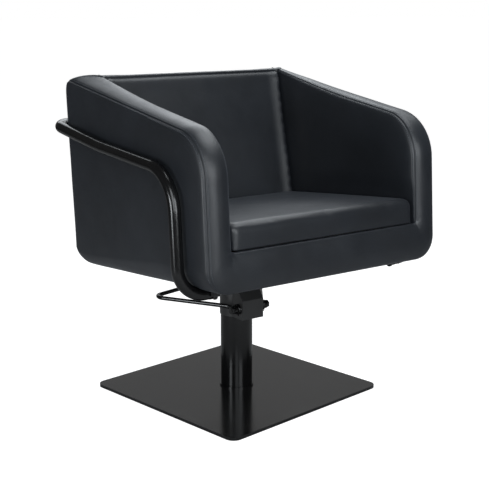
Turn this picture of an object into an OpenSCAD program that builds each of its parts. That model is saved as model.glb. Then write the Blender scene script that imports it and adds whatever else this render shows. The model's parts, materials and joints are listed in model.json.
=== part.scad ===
/* [Base plate] */
// Side of the square base plate
plate_side = 485; // [420:5:520]
// Thickness of the base plate
plate_thick = 7; // [6:0.5:8]
// Corner radius of the base plate
plate_corner_r = 22; // [10:1:40]
// Turn of the base plate away from the chair's front, in degrees
plate_turn = 8.6; // [-45:0.1:45]
// Thickness of the floor pad under the plate
pad_thick = 1.5; // [1:0.25:2]

/* [Lift pump] */
// Outside diameter of the column cover
column_d = 76; // [76:0.5:80]
// Height of the pump head's lower face when the seat is down
head_z = 189; // [187:1:190]
// Outside diameter of the fixed pump cylinder
cylinder_d = 66; // [64:0.5:67]
// Bore of the pump cylinder, in which the piston runs
cylinder_bore = 54.1; // [52.1:0.5:56.1]
// Diameter of the ram
ram_d = 46; // [44:0.5:48]
// Diameter of the spindle on which the head turns
spindle_d = 30; // [26:0.5:30]
// Radial gap of every running fit
run_gap = 0.05; // [0.02:0.01:0.08]

/* [Upholstered body] */
// Width over the side seams
body_w = 620; // [600:5:660]
// Distance from the column to the front seams
body_front = 345; // [320:5:360]
// Distance from the column to the back panel
body_back = 229; // [215:1:240]
// Height of the body's underside above the floor at the column
body_z = 325; // [324:1:338]
// Backward lean of the whole body, in degrees
body_tilt = 4; // [2:0.5:5]
// Thickness of an arm between its seams
arm_w = 60; // [55:1:75]
// Height of an arm's front corner above the underside
arm_front_h = 310; // [290:1:325]
// Slope of the arm tops up to the back, in degrees
arm_slope = 12.3; // [8:0.1:14]
// Radius of an arm's front top corner, seen from the side
arm_corner_r = 100; // [80:5:120]
// Radius of the lower side corners, seen from the front
under_r = 52; // [48:1:60]
// Radius of the upright back corners, seen from above
back_corner_r = 25; // [20:1:28]
// Radius of the lower back edge, seen from the side
back_under_r = 50; // [40:1:54]
// Rise of the crowned band over its seams
crown_h = 12; // [8:1:16]
// Thickness of the upholstery leather
skin = 2; // [1:0.5:3]

/* [Seat and backrest] */
// Height of the seat base, from the underside to the cushion
seat_base_h = 85; // [75:1:88]
// Height of the seat cushion at its front
cushion_h = 55; // [50:1:62]
// Fall of the cushion's top from front to back, in degrees
cushion_slope = 1.6; // [0:0.1:3]
// Lean of the backrest inside the body, in degrees
back_lean = 8.6; // [6:0.1:10]
// Distance from the column to the foot of the backrest
back_foot = 89; // [80:1:95]
// Thickness of the backrest pad
back_pad = 38; // [30:1:42]

/* [Frame tube] */
// Diameter of the frame tube
tube_d = 22; // [18:1:25]
// Gap between the tube and the body
tube_gap = 7; // [6:1:12]
// Distance from the column to the tube's upright
tube_front = 266; // [250:1:280]

/* [Foot pedal] */
// Diameter of the pedal rod
rod_d = 10; // [8:0.5:12]
// Half the width of the pedal loop
pedal_half_w = 160; // [130:5:170]
// Distance from the column back to the loop's corners
pedal_reach = 125; // [110:5:135]

/* [Hidden] */
$fn = 64;

// Heights up the pump
plate_top = pad_thick + plate_thick;
cylinder_top = head_z - 11;
gland_h = 4.5;
seal_h = 3.5;
bush_h = 12;
ram_bottom = 26;
piston_h = 12;
piston_r = cylinder_bore / 2 - run_gap;
groove_r = piston_r - 2;
ram_top = head_z - 3;
flange_h = 4;
race_h = 2.5;
ball_d = 6;
race_gap = 0.3;
race_under_z = ram_top + flange_h + race_h + ball_d + race_gap;
head_recess_z = race_under_z + race_h;
head_bush_top = head_z + 73;
neck_top = head_z + 111;
head_top = head_z + 123;
mount_thick = 6;
mount_side = 180;
mount_hole = 70;
bolt_d = 8;
bolt_head_h = 5.5;
nut_r = 7.5;

// The pump head's front block, in which the pedal shaft turns
block_half_w = 30;
block_front = 67;
shaft_y = -52;
shaft_z = head_z + 25;
shaft_d = 12;
crank_arm = 13;
roller_r = 3;
plunger_r = 4;
hub_x0 = 38.5;
hub_x1 = 47;
hub_r = 10;
nut_x1 = 53;

// Upholstered body, in its own untilted frame: z = 0 on the underside
hole_gap = 0.1;
half_w = body_w / 2;
inner_x = half_w - arm_w;
frame_x = inner_x + 15;
board_z0 = skin;
board_z1 = skin + 18;
frame_inset = 15;
window_inset = 33;
board_side = frame_x - 8;
board_back = body_back - back_under_r;
panel_foot = board_z1 + 12;
corner_y = -body_front + arm_corner_r;
corner_z = arm_front_h + arm_corner_r * tan(arm_slope) - arm_corner_r / cos(arm_slope);
back_h = arm_front_h + (body_front + body_back) * tan(arm_slope);
pad_top = back_h - 12;
cushion_top = seat_base_h + cushion_h;
stile_ys = [-180, 40];
bolt_ys = [-240, 140];

// Frame tube: its centre line in the body's frame
tube_off = tube_gap + tube_d / 2;
tube_x = half_w + tube_off;
tube_low = -tube_d / 2 - 1;
tube_back = body_back + tube_off;
tube_mid = [29, 286];
tube_top_slope = 11.4;
tube_fall_slope = 8.2;
tube_rear_z = tube_mid[1] + (tube_back - tube_mid[0]) * tan(tube_top_slope);
tube_corner_z = tube_mid[1] - (tube_mid[0] + tube_front) * tan(tube_fall_slope);
tube_end_x = 244;
clamp_x = 252;
clamp_half_w = 7;
clamp_wing = 23;
clamp_screw_y = 17;
tube_side = [
    [tube_end_x, -tube_front, tube_low], [tube_x, -tube_front, tube_low],
    [tube_x, -tube_front, tube_corner_z], [tube_x, tube_mid[0], tube_mid[1]],
    [tube_x, tube_back, tube_rear_z]
];
tube_bends = [under_r + 16, 92, 300, 42];
tube_route = concat(tube_side, mirrored(tube_side));
tube_route_bends = [for (i = [0:7]) tube_bends[min(i, 7 - i)]];

// Foot pedal: its centre line in the row's frame
pedal_z = head_z + 36;
pedal_side = [
    [43, shaft_y + 7, shaft_z + 3], [50, -32, head_z + 31], [pedal_half_w, pedal_reach, pedal_z],
    [60, pedal_reach + 25, pedal_z]
];
pedal_route = concat(pedal_side, mirrored(pedal_side));
pedal_bends = [12, 20, 40, 40, 20, 12];
grip_half_w = 48;

// A route's points in reverse order on the other side of the chair
function mirrored(route) = [for (i = [len(route) - 1:-1:0]) [-route[i][0], route[i][1], route[i][2]]];
function unit(v) = v / norm(v);
// Height of the tube's centre along the side
function tube_z(y) =
    tube_mid[1] + (y - tube_mid[0]) * tan(y < tube_mid[0] ? tube_fall_slope : tube_top_slope);

// Points on an arc about a centre, from one angle to another
function arc(centre, r, from, to, steps) =
    [for (i = [0:steps]) let (a = from + (to - from) * i / steps) centre + r * [cos(a), sin(a)]];
// Points around one bend of a route, as [place, direction]
function bend_points(before, corner, after, r, steps) =
    let (d0 = unit(corner - before), d1 = unit(after - corner), turn = acos(d0 * d1))
    let (inward = unit(d1 - (d1 * d0) * d0), start = corner - d0 * r * tan(turn / 2))
    [for (i = [0:steps]) let (a = turn * i / steps)
        [start + d0 * r * sin(a) + inward * r * (1 - cos(a)), d0 * cos(a) + inward * sin(a)]];
// A whole route with round bends, as [place, direction]
function route_points(route, bends, steps) = let (last = len(route) - 1) concat(
    [[route[0], unit(route[1] - route[0])]],
    [for (i = [1:last - 1]) each bend_points(route[i - 1], route[i], route[i + 1], bends[i - 1], steps)],
    [[route[last], unit(route[last] - route[last - 1])]]
);
// Directions square to the route that turn no more than they must
function sides_of(path, i, side) = i == len(path) ? [] :
    let (d = path[i][1], s = unit(side - (side * d) * d)) concat([s], sides_of(path, i + 1, s));
// One ring of points for each place on a path
function rings_of(path, sides, r, n) = [for (i = [0:len(path) - 1], k = [0:n - 1])
    let (up = cross(path[i][1], sides[i]), a = 360 * k / n)
        path[i][0] + r * (cos(a) * sides[i] + sin(a) * up)];
// Triangles between one ring and the next, wound outwards, or inwards when flipped
function skin_of(rings, n, base, flip) = [for (i = [0:rings - 2], k = [0:n - 1], half = [0, 1])
    let (a = base + i * n + k, b = base + i * n + (k + 1) % n)
    let (t = half == 0 ? [a, b, b + n] : [a, b + n, a + n]) flip ? [t[2], t[1], t[0]] : t];

// A round rod, or a tube when bore is above 0, swept along a route with round bends
module bent_rod(route, bends, radius, bore = 0, n = 16, steps = 6) {
    path = route_points(route, bends, steps);
    sides = sides_of(path, 0, [0, 0.6, 0.8]);
    rings = len(path);
    inner = rings * n;
    end = (rings - 1) * n;
    caps = bore == 0 ? [[for (k = [n - 1:-1:0]) k], [for (k = [0:n - 1]) end + k]] : [
        for (k = [0:n - 1], half = [0, 1]) let (m = (k + 1) % n)
            half == 0 ? [k, inner + k, m] : [m, inner + k, inner + m],
        for (k = [0:n - 1], half = [0, 1]) let (m = (k + 1) % n)
            half == 0 ? [end + k, end + m, inner + end + k] : [end + m, inner + end + m, inner + end + k]
    ];
    points = concat(rings_of(path, sides, radius, n), bore == 0 ? [] : rings_of(path, sides, bore, n));
    polyhedron(points, [
        for (t = concat(skin_of(rings, n, 0, false), bore == 0 ? [] : skin_of(rings, n, inner, true), caps))
            [for (i = [len(t) - 1:-1:0]) t[i]]
    ]);
}

module ring(z0, z1, r_out, r_in) {
    translate([0, 0, z0]) difference() {
        cylinder(r = r_out, h = z1 - z0);
        translate([0, 0, -1]) cylinder(r = r_in, h = z1 - z0 + 2);
    }
}

// A cylinder along X between two places
module x_rod(x0, x1, y, z, r) {
    translate([min(x0, x1), y, z]) rotate([0, 90, 0]) cylinder(r = r, h = abs(x1 - x0));
}

// A box given by its lowest and highest corners
module box(low, high) {
    translate(low) cube(high - low);
}

module rounded_square(side, r) {
    for (turn = [0, 90]) rotate(turn) square([side, side - 2 * r], center = true);
    for (x = [-1, 1], y = [-1, 1]) translate([x, y] * (side / 2 - r)) circle(r);
}

// Children, on the right and on the left
module both_sides() {
    children();
    mirror([1, 0, 0]) children();
}

// Children drawn in the body's own frame, leaned back with it
module in_body() {
    translate([0, 0, body_z]) rotate([-body_tilt, 0, 0]) children();
}

// A side view, y across and z up, drawn out from x0 to x1
module side_view(x0, x1) {
    translate([x0, 0, 0]) rotate([90, 0, 90]) linear_extrude(x1 - x0) children();
}

// ---- Base ----

module floor_pad() {
    color("dimgray") rotate(plate_turn) linear_extrude(pad_thick)
        rounded_square(plate_side - 24, plate_corner_r);
}

module screw_ring(turn = 45, radius = 20) {
    for (i = [0:3]) rotate(turn + 90 * i) translate([radius, 0, 0]) children();
}

module base_plate() {
    color("black") rotate(plate_turn) difference() {
        translate([0, 0, pad_thick]) linear_extrude(plate_thick) rounded_square(plate_side, plate_corner_r);
        screw_ring() translate([0, 0, pad_thick]) {
            translate([0, 0, -1]) cylinder(r = 5.3, h = plate_thick + 2);
            cylinder(r1 = 9.3, r2 = 5.3, h = 4);
        }
    }
}

module base_screws() {
    color("gray") rotate(plate_turn) screw_ring() translate([0, 0, pad_thick + 0.2]) {
        cylinder(r1 = 8.8, r2 = 5, h = 3.8);
        cylinder(r = 5, h = 14);
    }
}

module foot_ring() {
    color("black") ring(plate_top, plate_top + 4, column_d / 2 + 3, cylinder_d / 2);
}

module pump_cylinder() {
    floor_z = ram_bottom - 1;
    color("silver") rotate(plate_turn) difference() {
        translate([0, 0, plate_top]) cylinder(d = cylinder_d, h = cylinder_top - gland_h - plate_top);
        translate([0, 0, floor_z]) cylinder(d = cylinder_bore, h = cylinder_top);
        screw_ring() translate([0, 0, plate_top - 1]) cylinder(r = 5.1, h = 9);
    }
}

module guide_bush() {
    top = cylinder_top - gland_h - seal_h;
    color("goldenrod") ring(top - bush_h, top, cylinder_bore / 2, ram_d / 2 + run_gap);
}

module rod_seal() {
    top = cylinder_top - gland_h;
    color("black") ring(top - seal_h, top, cylinder_bore / 2, ram_d / 2 + run_gap);
}

module gland_cap() {
    color("silver") ring(cylinder_top - gland_h, cylinder_top, cylinder_d / 2, ram_d / 2 + 1);
}

// ---- Ram ----

module ram_tube() {
    color("silver") ring(ram_bottom, ram_top, ram_d / 2, ram_d / 2 - 6);
}

module ram_piston() {
    color("goldenrod") difference() {
        ring(ram_bottom, ram_bottom + piston_h, piston_r, ram_d / 2);
        ring(ram_bottom + 4, ram_bottom + 8, cylinder_bore / 2 + 1, groove_r);
    }
}

module piston_seal() {
    color("black") ring(ram_bottom + 4, ram_bottom + 8, piston_r, groove_r);
}

module ram_spindle() {
    clip_z = head_bush_top + 0.5;
    color("silver") difference() {
        union() {
            translate([0, 0, ram_top - 26]) cylinder(r = ram_d / 2 - 6, h = 26);
            translate([0, 0, ram_top]) cylinder(d = ram_d, h = flange_h);
            translate([0, 0, ram_top]) cylinder(d = spindle_d, h = head_bush_top + 8 - ram_top);
        }
        ring(clip_z, clip_z + 2, spindle_d / 2 + 1, spindle_d / 2 - 1.5);
    }
}

module spindle_ring() {
    clip_z = head_bush_top + 0.5;
    color("gray") ring(clip_z, clip_z + 2, spindle_d / 2 + 4, spindle_d / 2 - 1.5);
}

module bearing_lower_race() {
    z = ram_top + flange_h;
    color("silver") ring(z, z + race_h, ram_d / 2, spindle_d / 2);
}

module bearing_balls() {
    z = ram_top + flange_h + race_h + ball_d / 2;
    count = 16;
    color("white") for (i = [0:count - 1])
        rotate(i * 360 / count) translate([19, 0, z]) sphere(d = ball_d, $fn = 24);
}

// ---- Seat: the pump's turning parts ----

module bearing_upper_race() {
    color("silver") ring(race_under_z, race_under_z + race_h, ram_d / 2, spindle_d / 2 + race_gap);
}

module swivel_bush() {
    color("goldenrod") ring(head_recess_z, head_bush_top, 19, spindle_d / 2 + run_gap);
}

module column_cover() {
    color("black") ring(plate_top + 4.5, head_z, column_d / 2, column_d / 2 - 3);
}

module pump_head() {
    wedge = [
        [-block_front, head_z], [-block_front, head_z + 46], [-block_front + 16, head_z + 66],
        [-block_front + 21, neck_top], [0, neck_top], [0, head_z]
    ];
    color("black") difference() {
        union() {
            translate([0, 0, head_z]) cylinder(r = column_d / 2 + 2, h = neck_top - head_z);
            translate([0, 0, neck_top]) cylinder(r = 52, h = head_top - neck_top);
            side_view(-block_half_w, block_half_w) polygon(wedge);
        }
        translate([0, 0, head_z - 1]) cylinder(r = 24, h = race_under_z + race_h - head_z + 1);
        translate([0, 0, head_z]) cylinder(r = 19, h = head_top - head_z + 1);
        translate([0, 0, head_bush_top]) cylinder(r = 21, h = head_top);
        x_rod(-block_half_w - 1, block_half_w + 1, shaft_y, shaft_z, shaft_d / 2 + run_gap);
        box([-5.5, shaft_y - 10, shaft_z - 10], [5.5, shaft_y + crank_arm + 4.5, shaft_z + 10]);
        translate([0, shaft_y + crank_arm, head_z + 1.5]) cylinder(r = plunger_r + run_gap, h = 20);
    }
}

module mount_plate() {
    color("dimgray") difference() {
        translate([0, 0, head_top]) linear_extrude(mount_thick) rounded_square(mount_side, 12);
        mount_places() translate([0, 0, head_top - 1]) cylinder(d = bolt_d + 0.6, h = mount_thick + 2);
    }
}

module mount_places() {
    for (x = [-1, 1], y = [-1, 1]) translate([x, y, 0] * mount_hole) children();
}

module tilt_wedge() {
    base = head_top + mount_thick;
    color("dimgray") difference() {
        translate([0, 0, base]) linear_extrude(40) rounded_square(mount_side - 10, 12);
        in_body() box([-200, -200, board_z0], [200, 200, 200]);
        mount_places() translate([0, 0, base - 1]) cylinder(d = bolt_d + 0.6, h = 50);
    }
}

// Height of the board's upper face over a place on the floor, and a little more
function board_over(y) = body_z + board_z1 / cos(body_tilt) - y * tan(body_tilt) + 1;

// Four bolts, each long enough to pass its nut over the leaning board
module mount_bolts() {
    low = head_top - bolt_head_h;
    color("gray") for (x = [-1, 1], y = [-1, 1]) translate([x, y, 0] * mount_hole) {
        translate([0, 0, low]) cylinder(r = nut_r, h = bolt_head_h, $fn = 6);
        translate([0, 0, low]) cylinder(d = bolt_d, h = board_over(y * mount_hole) + 9 - low);
    }
}

module mount_nuts() {
    color("gray") for (x = [-1, 1], y = [-1, 1])
        translate([x * mount_hole, y * mount_hole, board_over(y * mount_hole)]) difference() {
            cylinder(r = nut_r, h = 6.5, $fn = 6);
            translate([0, 0, -1]) cylinder(d = bolt_d, h = 9);
        }
}

// ---- Seat: the upholstered body, all in the body's frame ----

// The body's front outline, z up, that many millimetres inside its surface
module u_outline(inset) {
    top = back_h + 60;
    translate([0, under_r]) square([half_w - inset, top]);
    translate([0, inset]) square([half_w - under_r, top]);
    translate([half_w - under_r, under_r]) circle(under_r - inset);
}

module u_body(inset) {
    front = body_front + crown_h + 5;
    rear = body_back - inset;
    translate([0, rear, 0]) rotate([90, 0, 0]) linear_extrude(front + rear) u_outline(inset);
}

// One half of the body with its lower corners, back corner and lower back edge rounded
module body_limits(inset) {
    far = body_front + crown_h + 5;
    rear = body_back - inset;
    intersection() {
        u_body(inset);
        linear_extrude(back_h + 60) polygon(concat(
            [[0, rear], [0, -far], [half_w - inset, -far]],
            arc([half_w, body_back] - back_corner_r * [1, 1], back_corner_r - inset, 0, 90, 8)
        ));
        side_view(0, half_w) polygon(concat(
            [[rear, back_h + 60], [-far, back_h + 60], [-far, inset]],
            arc([body_back - back_under_r, back_under_r], back_under_r - inset, -90, 0, 10)
        ));
    }
}

// An arm's side outline, inset from its seams or, below 0, grown from them
module arm_outline(inset, low, rear = body_back) {
    reach = arm_corner_r - inset;
    top = arc([corner_y, corner_z], reach, 90 + arm_slope, 180, 10);
    rear_top = top[0][1] + (rear - top[0][0]) * tan(arm_slope);
    polygon(concat([[-body_front + inset, low], [rear, low], [rear, rear_top]], top));
}

// The crown's section: it rises along x and is as wide as the band along y
module crown_profile(w, rise) {
    r = (w * w / 4 + rise * rise) / (2 * rise);
    intersection() {
        translate([rise - r, 0]) circle(r, $fn = 128);
        translate([0, -w / 2]) square([rise, w]);
    }
}

// Rise of the crown over its seams, at a distance from the middle of an arm
function crown_rise(u) = let (r = (arm_w * arm_w / 4 + crown_h * crown_h) / (2 * crown_h))
    sqrt(r * r - u * u) - r + crown_h;

module arm_solid(inset) {
    middle = half_w - arm_w / 2;
    difference() {
        intersection() {
            hull() for (part = [1, 0.85, 0.6, 0.3]) {
                u = part * arm_w / 2;
                w = u - inset;
                side_view(middle - w, middle + w) arm_outline(inset - crown_rise(u), 0, body_back - inset);
            }
            body_limits(inset);
        }
        box([0, -body_front - 50, -1], [frame_x, body_back + 1, seat_base_h]);
    }
}

module arm_frame_block() {
    intersection() {
        side_view(frame_x, half_w - frame_inset) arm_outline(frame_inset, 0, body_back - frame_inset);
        body_limits(frame_inset);
    }
}

module arm_frame() {
    stile_w = 44;
    difference() {
        arm_frame_block();
        difference() {
            side_view(frame_x - 1, half_w) arm_outline(window_inset, 62, body_back - window_inset);
            for (y = stile_ys) box([0, y - stile_w / 2, 0], [half_w, y + stile_w / 2, back_h]);
        }
        frame_bolt_shapes(hole_gap);
        tube_bolt_shapes(hole_gap);
    }
}

module arm_foam() {
    difference() {
        arm_solid(skin);
        arm_frame_block();
        frame_bolt_shapes(hole_gap);
        tube_bolt_shapes(hole_gap);
    }
}

module arm_cover() {
    difference() {
        arm_solid(0);
        arm_solid(skin);
        tube_bolt_shapes(hole_gap);
    }
}

// Bolts that hold an arm's frame to its cleat, grown by a clearance for their holes
module frame_bolt_shapes(grow = 0) {
    z = board_z1 + 20;
    for (y = bolt_ys) {
        x_rod(inner_x - 6, half_w - frame_inset, y, z, 4 + grow);
        x_rod(half_w - frame_inset, half_w - frame_inset + 5 + grow, y, z, 9 + grow);
    }
}

// Bolts that hold the tube's standoffs to an arm's stiles
module tube_bolt_shapes(grow = 0) {
    for (y = stile_ys) {
        x_rod(frame_x, half_w + tube_gap - 1, y, tube_z(y), 3 + grow);
        x_rod(frame_x - 4 - grow, frame_x, y, tube_z(y), 6 + grow);
    }
}

module cleat() {
    box([inner_x - 12, -300, board_z1], [frame_x, board_back, board_z1 + 40]);
}

// The seat base at an inset; its top and its sides against the arms stay bare
module seat_solid(inset) {
    intersection() {
        both_sides() body_limits(inset);
        box([-frame_x, -body_front + inset, 0], [frame_x, body_back - inset, seat_base_h]);
    }
}

module board_shape(low = board_z0) {
    box([-board_side, -body_front + 20, low], [board_side, board_back, board_z1]);
}

module back_panel_shape() {
    box([-inner_x + 10, body_back - 29, panel_foot], [inner_x - 10, body_back - 11, back_h - 26]);
}

module mount_clearance() {
    for (x = [-1, 1], y = [-1, 1]) translate([x, y, 0] * mount_hole)
        cylinder(r = 10, h = board_over(y * mount_hole) + 12);
}

module seat_foam_shape() {
    difference() {
        seat_solid(skin);
        board_shape(0);
        back_panel_shape();
        both_sides() {
            cleat();
            frame_bolt_shapes(hole_gap);
        }
    }
}

module seat_cover_shape() {
    difference() {
        seat_solid(0);
        seat_solid(skin);
        box([-inner_x + 30, -235, -1], [inner_x - 30, 160, skin + 1]);
        clamp_screw_places() cylinder(r = 2.6, h = 60, center = true);
    }
}

module dust_cover_shape() {
    difference() {
        box([-inner_x + 15, -240, -1.2], [inner_x - 15, 170, 0]);
        box([-mount_side / 2, -mount_side / 2 - 5, -2], [mount_side / 2, mount_side / 2 + 5, 1]);
    }
}

// The backrest pad's side outline, with a gap behind it; its back stays bare
module pad_outline(inset, behind = 0) {
    slope = tan(back_lean);
    foot = back_foot;
    top = pad_top - inset;
    rise = top - seat_base_h;
    polygon([
        [foot + inset, seat_base_h], [foot + back_pad + behind, seat_base_h],
        [foot + back_pad + behind + rise * slope, top],
        [foot + inset + rise * slope, top]
    ]);
}

module backrest_solid(inset) {
    side = inner_x - 1 - inset;
    side_view(-side, side) pad_outline(inset);
}

module back_solid(inset) {
    band_front = back_foot + (back_h - seat_base_h) * tan(back_lean);
    band_w = body_back - 13 - band_front;
    difference() {
        union() {
            side_view(-inner_x, inner_x) polygon([
                [back_foot, seat_base_h], [body_back - inset, seat_base_h],
                [body_back - inset, back_h - inset], [band_front, back_h - inset]
            ]);
            translate([inner_x, band_front + band_w / 2, back_h - inset]) rotate([0, -90, 0])
                linear_extrude(2 * inner_x) crown_profile(band_w, crown_h);
        }
        side_view(-inner_x - 1, inner_x + 1) pad_outline(0, 0.2);
    }
}

module back_foam_shape() {
    difference() {
        back_solid(skin);
        back_panel_shape();
    }
}

module back_cover_shape() {
    difference() {
        back_solid(0);
        back_solid(skin);
    }
}

// The seat cushion's side outline, with a round front top edge; its underside stays bare
module cushion_outline(inset) {
    front = -body_front + inset;
    edge_r = 15;
    rear_top = back_foot + (cushion_h - inset) * tan(back_lean) - 2 - inset;
    top = cushion_top - inset;
    fall = (rear_top - front - edge_r) * tan(cushion_slope);
    polygon(concat(
        [[front, seat_base_h], [back_foot - 2 - inset, seat_base_h], [rear_top, top - fall]],
        arc([front + edge_r, top - edge_r], edge_r, 90, 180, 6)
    ));
}

module cushion_solid(inset) {
    side = inner_x - 2 - inset;
    side_view(-side, side) cushion_outline(inset);
}

// ---- Seat: the frame tube ----

module tube_frame_shape() {
    bent_rod(tube_route, tube_route_bends, tube_d / 2, tube_d / 2 - 2);
}

// Posts from an arm to the tube, hollowed to seat it
module standoff_shapes() {
    difference() {
        for (y = stile_ys) x_rod(half_w, tube_x - 2, y, tube_z(y), 8);
        for (y = stile_ys) translate([tube_x, y, tube_z(y)])
            rotate([90 + (y < tube_mid[0] ? tube_fall_slope : tube_top_slope), 0, 0])
                cylinder(d = tube_d, h = 60, center = true);
        tube_bolt_shapes(hole_gap);
    }
}

module clamp_screw_places() {
    for (x = [-1, 1], y = [-1, 1]) translate([x * clamp_x, -tube_front + y * clamp_screw_y, 0]) children();
}

// Saddles that hold the tube's two ends up to the seat board
module clamp_shapes() {
    corner = [clamp_half_w, clamp_wing, 0];
    difference() {
        box([clamp_x, -tube_front, tube_low] - corner, [clamp_x, -tube_front, 0] + corner);
        x_rod(clamp_x - 20, clamp_x + 20, -tube_front, tube_low, tube_d / 2);
        clamp_screw_places() cylinder(r = 2.6, h = 100, center = true);
    }
}

module clamp_screw_shapes() {
    clamp_screw_places() {
        translate([0, 0, tube_low]) cylinder(r = 2.5, h = board_z1 - 2 - tube_low);
        translate([0, 0, tube_low - 3]) cylinder(r = 4.5, h = 3);
    }
}

module tube_cap_shapes() {
    x_rod(tube_end_x - 3, tube_end_x, -tube_front, tube_low, tube_d / 2);
    x_rod(tube_end_x, tube_end_x + 12, -tube_front, tube_low, tube_d / 2 - 2.3);
}

// ---- Pedal and plunger ----

module pedal_shaft() {
    color("silver") x_rod(-nut_x1 - 1, nut_x1 + 1, shaft_y, shaft_z, shaft_d / 2);
}

module pump_crank() {
    color("silver") difference() {
        union() {
            x_rod(-5, 5, shaft_y, shaft_z, 9);
            x_rod(-5, 5, shaft_y + crank_arm, shaft_z, roller_r);
            box([-5, shaft_y, shaft_z - roller_r], [5, shaft_y + crank_arm, shaft_z + roller_r]);
        }
        x_rod(-6, 6, shaft_y, shaft_z, shaft_d / 2);
    }
}

module pedal_hubs() {
    color("black") both_sides() difference() {
        x_rod(hub_x0, hub_x1, shaft_y, shaft_z, hub_r);
        x_rod(hub_x0 - 1, hub_x1 + 1, shaft_y, shaft_z, shaft_d / 2);
    }
}

module hub_nuts() {
    color("black") both_sides() difference() {
        translate([hub_x1, shaft_y, shaft_z]) rotate([0, 90, 0])
            cylinder(r = 9.5, h = nut_x1 - hub_x1, $fn = 6);
        x_rod(hub_x1 - 1, nut_x1 + 1, shaft_y, shaft_z, shaft_d / 2);
    }
}

module pedal_bar() {
    color("black") difference() {
        bent_rod(pedal_route, pedal_bends, rod_d / 2);
        both_sides() x_rod(hub_x0 - 1, nut_x1 + 1, shaft_y, shaft_z, hub_r);
    }
}

module pedal_grip() {
    y = pedal_reach + 25;
    color("dimgray") difference() {
        x_rod(-grip_half_w, grip_half_w, y, pedal_z, rod_d / 2 + 4);
        x_rod(-grip_half_w - 1, grip_half_w + 1, y, pedal_z, rod_d / 2);
    }
}

module return_springs() {
    wire_r = 1.2;
    coil_r = 11.5;
    pitch = 2.5;
    first_x = block_half_w + wire_r + 0.4;
    color("dimgray") both_sides() for (i = [0:2])
        translate([first_x + i * pitch, shaft_y, shaft_z]) rotate([0, 90, 0])
            rotate_extrude() translate([coil_r, 0]) circle(wire_r, $fn = 16);
}

module pump_plunger() {
    low = head_z + 7;
    top = shaft_z - roller_r - race_gap;
    color("silver") translate([0, shaft_y + crank_arm, low]) cylinder(r = plunger_r, h = top - low);
}

// ---- Nodes of the leaning body ----

module seat_board() {
    color("burlywood") difference() {
        in_body() difference() {
            board_shape();
            clamp_screw_places() cylinder(r = 2.6, h = 100, center = true);
        }
        mount_places() cylinder(d = bolt_d + 0.6, h = body_z + 60);
    }
}

module dust_cover() {
    color("black") in_body() dust_cover_shape();
}

module seat_foam() {
    color("khaki") difference() {
        in_body() seat_foam_shape();
        mount_clearance();
    }
}

module seat_cover() {
    color("darkslategray") in_body() seat_cover_shape();
}

module frame_cleats() {
    color("burlywood") in_body() both_sides() difference() {
        cleat();
        frame_bolt_shapes(hole_gap);
    }
}

module frame_bolts() {
    color("silver") in_body() both_sides() frame_bolt_shapes();
}

module arm_frame_left() {
    color("burlywood") in_body() arm_frame();
}

module arm_frame_right() {
    color("burlywood") in_body() mirror([1, 0, 0]) arm_frame();
}

module arm_foam_left() {
    color("khaki") in_body() arm_foam();
}

module arm_foam_right() {
    color("khaki") in_body() mirror([1, 0, 0]) arm_foam();
}

module arm_cover_left() {
    color("darkslategray") in_body() arm_cover();
}

module arm_cover_right() {
    color("darkslategray") in_body() mirror([1, 0, 0]) arm_cover();
}

module back_panel() {
    color("burlywood") in_body() back_panel_shape();
}

module back_foam() {
    color("khaki") in_body() back_foam_shape();
}

module back_cover() {
    color("darkslategray") in_body() back_cover_shape();
}

module backrest_foam() {
    color("khaki") in_body() backrest_solid(skin);
}

module backrest_cover() {
    color("darkslategray") in_body() difference() {
        backrest_solid(0);
        backrest_solid(skin);
    }
}

module cushion_foam() {
    color("khaki") in_body() cushion_solid(skin);
}

module cushion_cover() {
    color("darkslategray") in_body() difference() {
        cushion_solid(0);
        cushion_solid(skin);
    }
}

module tube_frame() {
    color("black") in_body() tube_frame_shape();
}

module tube_standoffs() {
    color("black") in_body() both_sides() standoff_shapes();
}

module tube_bolts() {
    color("silver") in_body() both_sides() tube_bolt_shapes();
}

module tube_clamps() {
    color("black") in_body() both_sides() clamp_shapes();
}

module clamp_screws() {
    color("silver") in_body() clamp_screw_shapes();
}

module tube_caps() {
    color("dimgray") in_body() both_sides() tube_cap_shapes();
}

floor_pad();
base_plate();
base_screws();
foot_ring();
pump_cylinder();
guide_bush();
rod_seal();
gland_cap();
ram_tube();
ram_piston();
piston_seal();
ram_spindle();
bearing_lower_race();
bearing_balls();
spindle_ring();
bearing_upper_race();
swivel_bush();
column_cover();
pump_head();
mount_plate();
tilt_wedge();
mount_bolts();
mount_nuts();
seat_board();
dust_cover();
seat_foam();
seat_cover();
frame_cleats();
frame_bolts();
arm_frame_left();
arm_frame_right();
arm_foam_left();
arm_foam_right();
arm_cover_left();
arm_cover_right();
back_panel();
back_foam();
back_cover();
backrest_foam();
backrest_cover();
cushion_foam();
cushion_cover();
tube_frame();
tube_standoffs();
tube_bolts();
tube_clamps();
clamp_screws();
tube_caps();
pedal_shaft();
pump_crank();
pedal_hubs();
hub_nuts();
pedal_bar();
pedal_grip();
return_springs();
pump_plunger();
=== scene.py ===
import json
import math

import bpy
import numpy as np
from mathutils import Matrix, Vector
from mathutils.bvhtree import BVHTree
from mathutils.kdtree import KDTree


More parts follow.
